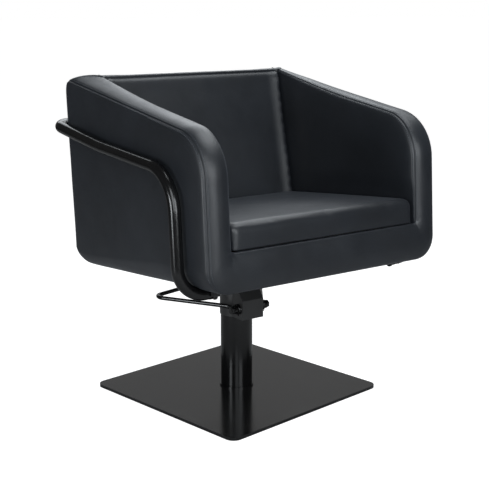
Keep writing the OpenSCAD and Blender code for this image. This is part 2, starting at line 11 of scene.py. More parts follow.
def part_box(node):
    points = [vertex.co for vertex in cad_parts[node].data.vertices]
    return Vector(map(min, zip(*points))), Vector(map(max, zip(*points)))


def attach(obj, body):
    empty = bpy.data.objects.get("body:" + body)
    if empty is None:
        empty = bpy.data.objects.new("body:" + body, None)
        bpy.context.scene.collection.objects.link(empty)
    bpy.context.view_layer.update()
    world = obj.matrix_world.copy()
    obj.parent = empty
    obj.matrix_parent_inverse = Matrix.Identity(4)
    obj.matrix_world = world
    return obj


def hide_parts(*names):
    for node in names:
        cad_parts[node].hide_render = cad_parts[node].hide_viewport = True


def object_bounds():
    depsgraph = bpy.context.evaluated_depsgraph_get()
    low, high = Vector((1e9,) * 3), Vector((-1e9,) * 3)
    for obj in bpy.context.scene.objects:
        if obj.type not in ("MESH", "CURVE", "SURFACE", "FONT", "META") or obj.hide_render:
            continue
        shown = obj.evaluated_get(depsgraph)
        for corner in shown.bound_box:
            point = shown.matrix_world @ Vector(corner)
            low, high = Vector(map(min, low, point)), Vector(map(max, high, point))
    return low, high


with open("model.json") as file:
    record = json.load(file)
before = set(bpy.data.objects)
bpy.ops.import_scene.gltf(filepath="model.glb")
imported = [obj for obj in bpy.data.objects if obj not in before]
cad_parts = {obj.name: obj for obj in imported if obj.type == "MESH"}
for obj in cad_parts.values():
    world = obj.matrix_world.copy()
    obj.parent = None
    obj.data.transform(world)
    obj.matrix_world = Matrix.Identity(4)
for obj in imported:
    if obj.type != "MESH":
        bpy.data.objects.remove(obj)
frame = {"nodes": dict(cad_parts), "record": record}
CAD_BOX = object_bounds()
NODES = frame["nodes"]
SCENE = bpy.context.scene
RNG = np.random.default_rng(7)

# The upholstered body leans back in the frame. Its pieces are drawn in its own upright frame, in millimetres.
LEAN = math.radians(4)
BODY_Z = 0.325
BODY = Matrix.Translation((0, 0, BODY_Z)) @ Matrix.Rotation(-LEAN, 4, "X")
BODY_INV = BODY.inverted()


def to_frame(points):
    """Body millimetres to frame metres."""
    p = np.asarray(points, float) * 0.001
    m = np.array(BODY)
    return p @ m[:3, :3].T + m[:3, 3]


def to_body(points):
    """Frame metres to body millimetres."""
    m = np.array(BODY_INV)
    return (points @ m[:3, :3].T + m[:3, 3]) * 1000


def mesh_points(mesh):
    co = np.zeros(len(mesh.vertices) * 3)
    mesh.vertices.foreach_get("co", co)
    return co.reshape(-1, 3)


def body_box(name):
    """Lowest and highest corner of a CAD node in the body's own frame, in millimetres."""
    p = to_body(mesh_points(NODES[name].data))
    return p.min(0), p.max(0)


arm_low, arm_high = body_box("arm_cover_right")
cushion_low, cushion_high = body_box("cushion_cover")

# The body's outside, from the CAD: half its width, its front, its back and the top of the seat base.
HALF_W = float(max(abs(arm_low[0]), abs(arm_high[0])))
FRONT = float(body_box("seat_cover")[0][1])
BACK = float(body_box("back_cover")[1][1])
SEAT_Z = float(cushion_low[2])
# The arms are this thick, and their top line climbs toward the back from this height at the front.
ARM_THICK = 60
INNER_X = HALF_W - ARM_THICK
SLOPE = math.radians(12.3)
ARM_FRONT_Z = 310.0
# Round corners: the arm's front, the lower sides, the lower back, the back in plan, and the inside ones.
CORNER_R = 100.0
UNDER_R = 52.0
REAR_UNDER_R = 50.0
PLAN_R = 25.0
INSIDE_R = 8.0
CORNER_Y = FRONT + CORNER_R
CORNER_Z = ARM_FRONT_Z + CORNER_R * math.tan(SLOPE) - CORNER_R / math.cos(SLOPE)
# The backrest pad's seam at the top, and the back panel's.
PAD_TOP_Y = 142.0
PAD_SEAM_Z = 435.5
BACK_SEAM_Z = 421.0
# An arm's inner seam rises this much round the front corner, and from here on climbs to the pad's seam.
INNER_UP = 4.0
CLIMB_Y = -120
# How far the outer seams are drawn in from the sides and up from the bottom.
SEAM_IN = 5.0
SEAM_UP = 1.5
SEAM_X = HALF_W - SEAM_IN
# The topstitching's distance from its seam.
STITCH_OFFSET = 5.0


def smooth(t):
    t = np.clip(t, 0, 1)
    return t * t * (3 - 2 * t)


def arm_line(y):
    return ARM_FRONT_Z + (y - FRONT) * math.tan(SLOPE)


def inner_lift(y):
    """Height of an arm's inner seam over its outer seam: none at the front, more toward the backrest."""
    turn = math.pi / 2 - SLOPE
    a = np.arccos(np.clip((CORNER_Y - y) / CORNER_R, math.cos(turn), 1.0)) / turn
    rest = PAD_SEAM_Z - INNER_UP - arm_line(PAD_TOP_Y)
    return INNER_UP * smooth(a) + rest * np.clip((y - CLIMB_Y) / (PAD_TOP_Y - CLIMB_Y), 0, 1) ** 1.6


# ---- materials


def new_material(name):
    """A material, its node tree and its shader."""
    m = bpy.data.materials.new(name)
    m.use_nodes = True
    nt = m.node_tree
    return m, nt, nt.nodes["Principled BSDF"]


def settle(n, **values):
    """Sets a node's settings and its inputs' values. In an input's name, _ stands for a space."""
    for key, value in values.items():
        if hasattr(n, key):
            setattr(n, key, value)
        else:
            n.inputs[key.replace("_", " ")].default_value = value
    return n


def add(nt, kind, **values):
    """A shader node with its settings and its inputs' values."""
    return settle(nt.nodes.new(kind), **values)


def ramp(nt, source, stops):
    """A blend between two colours at two places."""
    n = add(nt, "ShaderNodeValToRGB")
    for element, (place, colour) in zip(n.color_ramp.elements, stops):
        element.position = place
        element.color = (*colour, 1)
    nt.links.new(source, n.inputs["Fac"])
    return n


def noise(nt, coords, scale, detail=3, rough=0.5):
    n = add(nt, "ShaderNodeTexNoise", Scale=scale, Detail=detail, Roughness=rough)
    nt.links.new(coords, n.inputs["Vector"])
    return n


def spread(nt, source, low, high):
    """A noise's usual range, brought to low and high."""
    n = add(nt, "ShaderNodeMapRange", From_Min=0.3, From_Max=0.7, To_Min=low, To_Max=high)
    nt.links.new(source, n.inputs["Value"])
    return n


def bump(nt, height, strength, distance, before=None):
    n = add(nt, "ShaderNodeBump", Strength=strength, Distance=distance)
    nt.links.new(height, n.inputs["Height"])
    if before:
        nt.links.new(before.outputs["Normal"], n.inputs["Normal"])
    return n


def leather_material():
    dark, light = (0.0088, 0.0105, 0.0135), (0.0150, 0.0178, 0.0225)
    m, nt, bsdf = new_material("anthracite_leather")
    coords = add(nt, "ShaderNodeTexCoord").outputs["Object"]
    clouds = noise(nt, coords, 7, 4, 0.6)
    tone = ramp(nt, clouds.outputs["Fac"], [(0.3, dark), (0.72, light)])
    # pebbled grain about a millimetre across, with finer pores in it
    cells = add(nt, "ShaderNodeTexVoronoi", feature="F1", Scale=820)
    warp = noise(nt, coords, 160, 2)
    mix = add(nt, "ShaderNodeVectorMath", operation="MULTIPLY_ADD")
    nt.links.new(warp.outputs["Color"], mix.inputs[0])
    mix.inputs[1].default_value = (0.0022, 0.0022, 0.0022)
    nt.links.new(coords, mix.inputs[2])
    nt.links.new(mix.outputs["Vector"], cells.inputs["Vector"])
    grain = ramp(nt, cells.outputs["Distance"], [(0.0, (1, 1, 1)), (0.62, (0.25, 0.25, 0.25))])
    pores = noise(nt, coords, 2600, 2)
    hollow = noise(nt, coords, 45, 3)
    b0 = bump(nt, hollow.outputs["Fac"], 0.10, 0.002)
    b1 = bump(nt, grain.outputs["Color"], 0.22, 0.00035, b0)
    b2 = bump(nt, pores.outputs["Fac"], 0.10, 0.00015, b1)
    nt.links.new(b2.outputs["Normal"], bsdf.inputs["Normal"])
    # grain valleys hold a darker tone, and handled places are lighter: partly worn leather, partly a painted
    # highlight
    valley = ramp(nt, cells.outputs["Distance"], [(0.25, (1, 1, 1)), (0.85, (0.72, 0.72, 0.74))])
    shade = add(nt, "ShaderNodeMix", data_type="RGBA", blend_type="MULTIPLY", Factor=1.0)
    nt.links.new(tone.outputs["Color"], shade.inputs["A"])
    nt.links.new(valley.outputs["Color"], shade.inputs["B"])
    wear_and_highlight = add(nt, "ShaderNodeAttribute", attribute_name="wear_and_highlight")
    handled_and_highlit = add(nt, "ShaderNodeMix", data_type="RGBA")
    # this lighter colour stands partly for worn leather and partly for painted highlight
    worn = tuple(1.45 * c + 0.004 for c in light)
    handled_and_highlit.inputs["B"].default_value = (*worn, 1)
    patch = add(nt, "ShaderNodeMath", operation="MULTIPLY")
    nt.links.new(wear_and_highlight.outputs["Fac"], patch.inputs[0])
    nt.links.new(clouds.outputs["Fac"], patch.inputs[1])
    nt.links.new(patch.outputs["Value"], handled_and_highlit.inputs["Factor"])
    nt.links.new(shade.outputs["Result"], handled_and_highlit.inputs["A"])
    nt.links.new(handled_and_highlit.outputs["Result"], bsdf.inputs["Base Color"])
    gloss = spread(nt, noise(nt, coords, 11, 4, 0.6).outputs["Fac"], 0.47, 0.38)
    nt.links.new(gloss.outputs["Result"], bsdf.inputs["Roughness"])
    sheen = (0.72, 0.78, 0.9, 1)
    settle(bsdf, Specular_IOR_Level=0.55, Sheen_Weight=0.06, Sheen_Roughness=0.45, Sheen_Tint=sheen)
    return m


def painted_material(name, colour, rough_low, rough_high, peel, scratch):
    m, nt, bsdf = new_material(name)
    coords = add(nt, "ShaderNodeTexCoord").outputs["Object"]
    clouds = noise(nt, coords, 9, 5, 0.6)
    paler = tuple(1.5 * c + 0.002 for c in colour)
    tone = ramp(nt, clouds.outputs["Fac"], [(0.35, colour), (0.75, paler)])
    nt.links.new(tone.outputs["Color"], bsdf.inputs["Base Color"])
    stretch = add(nt, "ShaderNodeMapping", Scale=(1, 14, 1), Rotation=(0.3, 0.2, 0.9))
    nt.links.new(coords, stretch.inputs["Vector"])
    fine = noise(nt, stretch.outputs["Vector"], 60, 4, 0.7)
    gloss = spread(nt, fine.outputs["Fac"], rough_low, rough_high)
    nt.links.new(gloss.outputs["Result"], bsdf.inputs["Roughness"])
    skin = noise(nt, coords, 520, 2)
    b0 = bump(nt, skin.outputs["Fac"], peel, 0.0004)
    b1 = bump(nt, fine.outputs["Fac"], scratch * 0.1, 0.0002, b0)
    nt.links.new(b1.outputs["Normal"], bsdf.inputs["Normal"])
    return m


def metal_material(name, colour, rough_low, rough_high, brush=(1, 1, 30)):
    m, nt, bsdf = new_material(name)
    coords = add(nt, "ShaderNodeTexCoord").outputs["Object"]
    clouds = noise(nt, coords, 20, 4, 0.6)
    darker = tuple(0.72 * c for c in colour)
    tone = ramp(nt, clouds.outputs["Fac"], [(0.3, darker), (0.7, colour)])
    nt.links.new(tone.outputs["Color"], bsdf.inputs["Base Color"])
    bsdf.inputs["Metallic"].default_value = 1.0
    stretch = add(nt, "ShaderNodeMapping", Scale=brush)
    nt.links.new(coords, stretch.inputs["Vector"])
    lines = noise(nt, stretch.outputs["Vector"], 90, 4, 0.7)
    gloss = spread(nt, lines.outputs["Fac"], rough_low, rough_high)
    nt.links.new(gloss.outputs["Result"], bsdf.inputs["Roughness"])
    b0 = bump(nt, lines.outputs["Fac"], 0.08, 0.0002)
    nt.links.new(b0.outputs["Normal"], bsdf.inputs["Normal"])
    return m


def matte_material(name, dark, light, rough, scale, depth, weave=False):
    m, nt, bsdf = new_material(name)
    coords = add(nt, "ShaderNodeTexCoord").outputs["Object"]
    if weave:
        both = add(nt, "ShaderNodeMath", operation="MULTIPLY")
        for way, threads in zip("XY", both.inputs):
            wave = add(nt, "ShaderNodeTexWave", bands_direction=way, Scale=scale, Distortion=0.6)
            nt.links.new(coords, wave.inputs["Vector"])
            nt.links.new(wave.outputs["Fac"], threads)
        height = both.outputs["Value"]
    else:
        height = noise(nt, coords, scale, 4, 0.6).outputs["Fac"]
    tone = ramp(nt, height, [(0.3, dark), (0.7, light)])
    nt.links.new(tone.outputs["Color"], bsdf.inputs["Base Color"])
    worn = spread(nt, noise(nt, coords, 30, 3).outputs["Fac"], rough, rough + 0.12)
    nt.links.new(worn.outputs["Result"], bsdf.inputs["Roughness"])
    b0 = bump(nt, height, 0.5, depth)
    nt.links.new(b0.outputs["Normal"], bsdf.inputs["Normal"])
    return m


def wood_material(name):
    m, nt, bsdf = new_material(name)
    coords = add(nt, "ShaderNodeTexCoord").outputs["Object"]
    plies = add(nt, "ShaderNodeTexWave", bands_direction="Z", Scale=110, Distortion=1.5)
    nt.links.new(coords, plies.inputs["Vector"])
    tone = ramp(nt, plies.outputs["Fac"], [(0.2, (0.30, 0.17, 0.08)), (0.8, (0.55, 0.38, 0.21))])
    nt.links.new(tone.outputs["Color"], bsdf.inputs["Base Color"])
    bsdf.inputs["Roughness"].default_value = 0.6
    b0 = bump(nt, plies.outputs["Fac"], 0.2, 0.0004)
    nt.links.new(b0.outputs["Normal"], bsdf.inputs["Normal"])
    return m


LEATHER = leather_material()
THREAD = matte_material("stitch_thread", (0.045, 0.05, 0.06), (0.10, 0.11, 0.125), 0.55, 3000, 0.0001)
BLACK = painted_material("black_enamel", (0.0022, 0.0022, 0.0024), 0.17, 0.23, 0.004, 0.03)
SATIN = painted_material("satin_black_plate", (0.0055, 0.0055, 0.0057), 0.13, 0.17, 0.003, 0.02)
MATT = painted_material("matt_black_casting", (0.022, 0.022, 0.0222), 0.30, 0.38, 0.01, 0.06)
STEEL = metal_material("bright_steel_fine", (0.62, 0.62, 0.61), 0.18, 0.34)
ZINC = metal_material("zinc_plated", (0.50, 0.51, 0.52), 0.30, 0.5, (1, 1, 1))
BRONZE = metal_material("bronze_turned", (0.55, 0.36, 0.16), 0.28, 0.42)
RUBBER = matte_material("black_rubber_fine", (0.010, 0.010, 0.010), (0.022, 0.022, 0.022), 0.6, 900, 0.0002)
PLASTIC = matte_material("black_plastic_fine", (0.01, 0.01, 0.011), (0.018, 0.018, 0.019), 0.42, 1400, 0.0001)
FOAM = matte_material("foam_cells", (0.55, 0.50, 0.36), (0.72, 0.68, 0.52), 0.85, 1500, 0.0004)
DUST = matte_material("dust_cloth", (0.006, 0.006, 0.006), (0.018, 0.018, 0.018), 0.85, 500, 0.0003, True)
WOOD = wood_material("birch_ply")

SLOT_MATERIALS = {
    "upholstery_leather": LEATHER, "black_metal": BLACK, "bright_steel": STEEL, "zinc_steel": ZINC,
    "bronze": BRONZE, "black_rubber": RUBBER, "plywood": WOOD, "foam": FOAM, "dust_fabric": DUST,
    "black_plastic": PLASTIC,
}
# CAD nodes that look unlike their slot: a smoother plate, a rougher pump head and black screws.
OWN_MATERIALS = {"base_plate": SATIN, "pump_head": MATT, "clamp_screws": BLACK}


def finish_cad_nodes():
    """Every CAD node takes the procedural finish of its record slot, or its own."""
    for part in frame["record"]["subparts"]:
        name = part["node"]
        material = OWN_MATERIALS.get(name, SLOT_MATERIALS[part["material_slot"]])
        NODES[name].data.materials.clear()
        NODES[name].data.materials.append(material)


# ---- meshes


def make_object(name, verts, faces, body, material, toward=None):
    """A smooth piece from frame-metre points. toward is a function that says which way each face looks."""
    mesh = bpy.data.meshes.new(name)
    mesh.from_pydata([tuple(v) for v in verts], [], [tuple(f) for f in faces])
    mesh.validate()
    mesh.update()
    obj = bpy.data.objects.new(name, mesh)
    SCENE.collection.objects.link(obj)
    if toward is not None:
        score = sum(p.normal.dot(toward(p.center)) * p.area for p in mesh.polygons)
        if score < 0:
            mesh.flip_normals()
    mesh.shade_smooth()
    mesh.materials.append(material)
    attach(obj, body)
    return obj


def grid_faces(rows, cols, close_rows=False, close_cols=False, base=0):
    out = []
    for i in range(rows if close_rows else rows - 1):
        for j in range(cols if close_cols else cols - 1):
            a, b = base + i * cols, base + ((i + 1) % rows) * cols
            k = (j + 1) % cols
            out.append((a + j, a + k, b + k, b + j))
    return out


def set_wear_and_highlight(obj, values):
    """How handled each point of the leather is, from 0 to 1, with a painted highlight in the same value. The
    leather's finish reads it and makes those points lighter.
    """
    attribute = obj.data.attributes.new("wear_and_highlight", "FLOAT", "POINT")
    attribute.data.foreach_set("value", np.asarray(values, np.float32).ravel())


# ---- the seams


class Seams:
    """Polylines where leather is sewn. Every panel near one sinks into it along the same direction."""

    def __init__(self):
        self.points, self.inward, self.after = [], [], []

    def line(self, points, inward, closed=False):
        start, n = len(self.points), len(points)
        self.points += [np.asarray(p, float) for p in points]
        self.inward += [v / np.linalg.norm(v) for v in np.asarray(inward, float)]
        self.after += [*range(start + 1, start + n), start if closed else start + n - 1]

    def build(self):
        self.points, self.inward = np.array(self.points), np.array(self.inward)
        self.after = np.array(self.after)
        self.before = np.arange(len(self.after))
        for i, j in enumerate(self.after):
            if j != i:
                self.before[j] = i
        self.tree = KDTree(len(self.points))
        for i, p in enumerate(self.points):
            self.tree.insert(p, i)
        self.tree.balance()

    def near(self, points):
        """Distance to the nearest seam and the inward direction there, for each point."""
        idx = np.array([self.tree.find(p)[1] for p in points])
        best = np.full(len(points), 1e9)
        inward = np.zeros_like(points)
        for other in (self.before, self.after):
            a, b = self.points[idx], self.points[other[idx]]
            d = b - a
            length = (d * d).sum(1)
            t = np.where(length > 1e-9, ((points - a) * d).sum(1) / np.maximum(length, 1e-9), 0).clip(0, 1)
            gap = np.linalg.norm(points - a - d * t[:, None], axis=1)
            v = self.inward[idx] * (1 - t[:, None]) + self.inward[other[idx]] * t[:, None]
            closer = gap < best
            best = np.where(closer, gap, best)
            inward = np.where(closer[:, None], v, inward)
        return best, inward


SEAMS = Seams()
WAVES = [(RNG.normal(size=3), RNG.uniform(0, 6.28), RNG.uniform(45, 170)) for _ in range(9)]


def slack(points, amount=0.28):
    """A soft unevenness of the leather, in millimetres, for points in body millimetres."""
    total = np.zeros(len(points))
    for direction, phase, wave in WAVES:
        k = direction / np.linalg.norm(direction)
        total += np.sin(points @ k * (2 * math.pi / wave) + phase)
    return total * amount / 3


# How deep and how wide a panel sinks at its seam, and the ditch under the topstitching.
SINK, SINK_REACH = 2.0, 2.3
DITCH, DITCH_REACH = 0.45, 1.1


def sew(points, normals, puff, puff_reach):
    """Panel points swollen away from the seams and sunk along them, with a ditch under the topstitching."""
    flat = points.reshape(-1, 3)
    normal = normals.reshape(-1, 3)
    gap, inward = SEAMS.near(flat)
    out = flat + normal * (puff * (1 - np.exp(-gap / puff_reach)) + slack(flat) * smooth(gap / 30))[:, None]
    out = out + inward * (SINK * np.exp(-((gap / SINK_REACH) ** 2)))[:, None]
    out = out - normal * (DITCH * np.exp(-(((gap - STITCH_OFFSET) / DITCH_REACH) ** 2)))[:, None]
    return out.reshape(points.shape), gap.reshape(points.shape[:-1])


# ---- the crowned band


# Numbers of sections along each stretch of the band's half: the apron, the lower corner, the arm's front,
# its round corner, its top, the part beside the pad, the back corner and the back.
APRON_STEPS, UNDER_STEPS, POST_STEPS, ROUND_STEPS = 60, 28, 36, 48
TOP_STEPS, REAR_STEPS, PLAN_STEPS, BACK_STEPS = 84, 36, 28, 60
# The arm's two seams run side by side up to here. Behind it each is shared out over its own length.
REAR_Y = 60
# The band's crown over its seams: at the apron, the arm's front, its top and the back.
APRON_CROWN, FRONT_CROWN, TOP_CROWN, BACK_CROWN = 7, 9.5, 7, 8


def band_half():
    """Sections of the band from the apron's middle, up and over an arm, to the back's middle.
    Each is (outer point, inner point, outer panel's normal, inner panel's normal, crown height)."""
    out = []
    left, right = (-1, 0, 0), (1, 0, 0)
    xo, xi = HALF_W - UNDER_R, INNER_X - INSIDE_R
    post_low = SEAT_Z + INSIDE_R

    def put(o, i, no, ni, crown):
        out.append((np.array(o, float), np.array(i, float), np.array(no, float), np.array(ni, float), crown))

    for t in np.arange(APRON_STEPS) / APRON_STEPS:
        crown = APRON_CROWN + 2 * smooth(t)
        put((-xo * t, FRONT, SEAM_UP), (-xi * t, FRONT, SEAT_Z), (0, 0, -1), (0, 0, 1), crown)
    for t in np.arange(UNDER_STEPS) / UNDER_STEPS:
        s, c = math.sin(t * math.pi / 2), math.cos(t * math.pi / 2)
        put((-xo - (UNDER_R - SEAM_IN) * s, FRONT, UNDER_R - (UNDER_R - SEAM_UP) * c),
            (-xi - INSIDE_R * s, FRONT, post_low - INSIDE_R * c),
            (-s, 0, -c), (s, 0, c), APRON_CROWN + 2 + 0.5 * t)
    for t in np.arange(POST_STEPS) / POST_STEPS:
        put((-SEAM_X, FRONT, UNDER_R + (CORNER_Z - UNDER_R) * t),
            (-INNER_X, FRONT, post_low + (CORNER_Z - post_low) * t), left, right, FRONT_CROWN)
    turn = math.pi / 2 - SLOPE
    for t in np.arange(ROUND_STEPS) / ROUND_STEPS:
        y, z = CORNER_Y - CORNER_R * math.cos(turn * t), CORNER_Z + CORNER_R * math.sin(turn * t)
        crown = FRONT_CROWN + (TOP_CROWN - FRONT_CROWN) * smooth(t)
        put((-SEAM_X, y, z), (-INNER_X, y, z + inner_lift(y)), left, right, crown)
    y0 = CORNER_Y - CORNER_R * math.cos(turn)
    for t in np.arange(TOP_STEPS) / TOP_STEPS:
        y = y0 + (REAR_Y - y0) * t
        put((-SEAM_X, y, arm_line(y)), (-INNER_X, y, arm_line(y) + inner_lift(y)), left, right, TOP_CROWN)
    yo, yi = BACK - PLAN_R, PAD_TOP_Y - INSIDE_R
    for t in np.arange(REAR_STEPS) / REAR_STEPS:
        a, b = REAR_Y + (yo - REAR_Y) * t, REAR_Y + (yi - REAR_Y) * t
        put((-SEAM_X, a, arm_line(a)), (-INNER_X, b, arm_line(b) + inner_lift(b)), left, right, TOP_CROWN)
    for t in np.arange(PLAN_STEPS) / PLAN_STEPS:
        s, c = math.sin(t * math.pi / 2), math.cos(t * math.pi / 2)
        z = arm_line(yo) + (BACK_SEAM_Z - arm_line(yo)) * smooth(t)
        put((-SEAM_X + (PLAN_R - SEAM_IN) * (1 - c), yo + PLAN_R * s, z),
            (-INNER_X + INSIDE_R * (1 - c), yi + INSIDE_R * s, PAD_SEAM_Z),
            (-c, s, 0), (c, -s, 0), TOP_CROWN + (BACK_CROWN - TOP_CROWN) * t)
    for t in np.arange(BACK_STEPS + 1) / BACK_STEPS:
        put((-(HALF_W - PLAN_R) * (1 - t), BACK, BACK_SEAM_Z), (-xi * (1 - t), PAD_TOP_Y, PAD_SEAM_Z),
            (0, 1, 0), (0, -1, 0), BACK_CROWN - 2 * smooth(3 * t))
    return out


FLIP = np.array([-1.0, 1, 1])
half = band_half()
sections = half + [(o * FLIP, i * FLIP, no * FLIP, ni * FLIP, c) for o, i, no, ni, c in half[-2:0:-1]]
OUT = np.array([s[0] for s in sections])
INN = np.array([s[1] for s in sections])
OUT_N = np.array([s[2] for s in sections])
INN_N = np.array([s[3] for s in sections])
CROWN = np.array([s[4] for s in sections])
middle = (OUT + INN) / 2
along = np.roll(middle, -1, 0) - np.roll(middle, 1, 0)
chord = INN - OUT
UP = np.cross(along, chord)
UP /= np.linalg.norm(UP, axis=1)[:, None]
if UP[0][1] > 0:
    UP = -UP
for i in range(1, len(UP)):
    if UP[i] @ UP[i - 1] < 0:
        UP[i] = -UP[i]
SEAMS.line(OUT, -(UP + OUT_N), closed=True)
SEAMS.line(INN, -(UP + INN_N), closed=True)

# the back panel's side and bottom seams: half its width, its bottom and its lower corners' radius
BX, BZ, BR = HALF_W - PLAN_R, REAR_UNDER_R, 14.0
rim = [(-BX, z) for z in np.linspace(BACK_SEAM_Z, BZ + BR, 150)]
rim_turn = np.linspace(0, math.pi / 2, 20)[1:]
rim += [(-BX + BR - BR * math.cos(a), BZ + BR - BR * math.sin(a)) for a in rim_turn]
rim += [(x, BZ) for x in np.linspace(-BX + BR, 0, 100)[1:]]
rim += [(-x, z) for x, z in rim[-2::-1]]
SEAMS.line([(x, BACK, z) for x, z in rim], [(0, -1, 0)] * len(rim))
SEAMS.build()

# Distances from a seam where a panel has its points.
EDGE_STEPS = [0, 0.7, 1.4, 2.2, 3.1, 4.0, 5.0, 6.0, 7.2, 8.8, 11, 14, 18, 23]


def edge_spaced(length, step):
    """Distances from one seam to another: close together at both ends."""
    low = [s for s in EDGE_STEPS if s < length / 2]
    count = max(2, int((length - 2 * low[-1]) / step))
    mid = list(np.linspace(low[-1], length - low[-1], count + 1)[1:-1])
    return np.array(low + mid + [length - s for s in reversed(low)])


def leather_sheet(name, points, toward=None, close_rows=False):
    """A sheet of leather on the seat, from rows of points in body millimetres."""
    rows, cols = points.shape[:2]
    return make_object(name, to_frame(points.reshape(-1, 3)), grid_faces(rows, cols, close_rows),
                       "seat", LEATHER, toward)


def seam_wear_and_highlight(gap):
    """How worn a panel is beside its seam, with a painted highlight along the seam in the same value."""
    return np.exp(-((gap - 2.2) / 1.3) ** 2)


def crown_shape(v):
    """The band's height across its width, as a share of its crown."""
    return (1 - np.abs(2 * v - 1) ** 2.3) ** 0.9


def build_band():
    """The crowned strip of leather between the outer and inner seams, all the way round."""
    vs = edge_spaced(ARM_THICK, 2) / ARM_THICK
    base = OUT[:, None] + chord[:, None] * vs[None, :, None]
    rise = CROWN[:, None] * crown_shape(vs)[None, :]
    # small pleats where the leather turns the inside corners of the seat, and gathers round the arm's front
    side = np.abs(base[..., 0]) - INNER_X
    drop = base[..., 2] - SEAT_Z
    away = np.sqrt(side**2 + drop**2 + (base[..., 1] - FRONT) ** 2)
    angle = np.arctan2(drop, side)
    rise = rise + 0.18 * np.sin(angle * 6) * np.exp(-((away - 14) / 12) ** 2) * (away > 3)
    gap, _ = SEAMS.near(base.reshape(-1, 3))
    gap = gap.reshape(rise.shape)
    in_arc = (base[..., 1] < CORNER_Y + 25) & (base[..., 2] > CORNER_Z - 20)
    run = np.cumsum(np.linalg.norm(along, axis=1) / 2)
    rise = rise + in_arc * 0.16 * np.sin(run / 2.1)[:, None] * np.exp(-gap / 9) * smooth(gap / 3)
    points = base + UP[:, None] * rise[..., None]
    normals = np.repeat(UP[:, None], len(vs), 1)
    sewn, _ = sew(points, normals, 0.0, 10.0)
    # the margins tuck into the seams, and the apron's goes on under the cushion
    tuck_o = sewn[:, :1] - 4 * (UP + OUT_N)[:, None] / 1.41
    tuck_i = sewn[:, -1:] - 4 * (UP + INN_N)[:, None] / 1.41
    under = (base[:, -1:, 2:] < SEAT_Z + 2) & (base[:, -1:, 1:2] < FRONT + 1)
    deep = np.where(under, tuck_i + np.array([0, 22.0, 0]), tuck_i - 2 * UP[:, None])
    allp = np.concatenate([tuck_o, sewn, tuck_i, deep], 1)
    obj = leather_sheet("band_leather", allp, close_rows=True)
    if obj.data.polygons[0].normal.y > 0:
        obj.data.flip_normals()
    wear_and_highlight = np.zeros(allp.shape[:2])
    # lighter leather on the band's upward-facing crown and in a strip beside each seam: partly handled wear,
    # partly painted highlight
    top = np.clip(UP[:, 2], 0, 1)
    wear_and_highlight[:, 1:-2] = 0.5 * top[:, None] * crown_shape(vs)[None, :] ** 2
    wear_and_highlight[:, 1:-2] += 0.4 * np.exp(-((gap - 2.4) / 1.4) ** 2)
    set_wear_and_highlight(obj, wear_and_highlight)
    return obj


band = build_band()

# ---- side, inner and back panels

# the arm's round front corner, from its foot to where the straight top begins
turn_steps = np.linspace(0, math.pi / 2 - SLOPE, 30)
arc_y = CORNER_Y - CORNER_R * np.cos(turn_steps)
arc_z = CORNER_Z + CORNER_R * np.sin(turn_steps)


def outline_top(y):
    """Height of the arm's seam line at a place along the arm, with its round front corner."""
    if y <= arc_y[-1]:
        return float(np.interp(y, arc_y, arc_z))
    return arm_line(y)


# The arms' panels take their rows' spacing from a panel of this height.
PANEL = 300


def side_stations():
    """Places along the side from the front seam to the back seam: (y, inset, top, turn of the corner)."""
    yo = BACK - PLAN_R
    plain = [*arc_y, *(FRONT + s for s in EDGE_STEPS if s > 0), *np.linspace(arc_y[-1] + 6, yo - 4, 70)]
    out = [(y, 0.0, outline_top(y), 0.0) for y in plain]
    zo = arm_line(yo)
    for a in np.radians([0, 12, 24, 36, 48, 60, 70, 76, 80, 83, 86, 88, 90]):
        top = zo + (BACK_SEAM_Z - zo) * float(smooth(math.degrees(a) / 90))
        out.append((yo + PLAN_R * math.sin(a), (PLAN_R - SEAM_IN) * (1 - math.cos(a)), top, a))
    out.sort(key=lambda s: (s[0], s[3]))
    return out


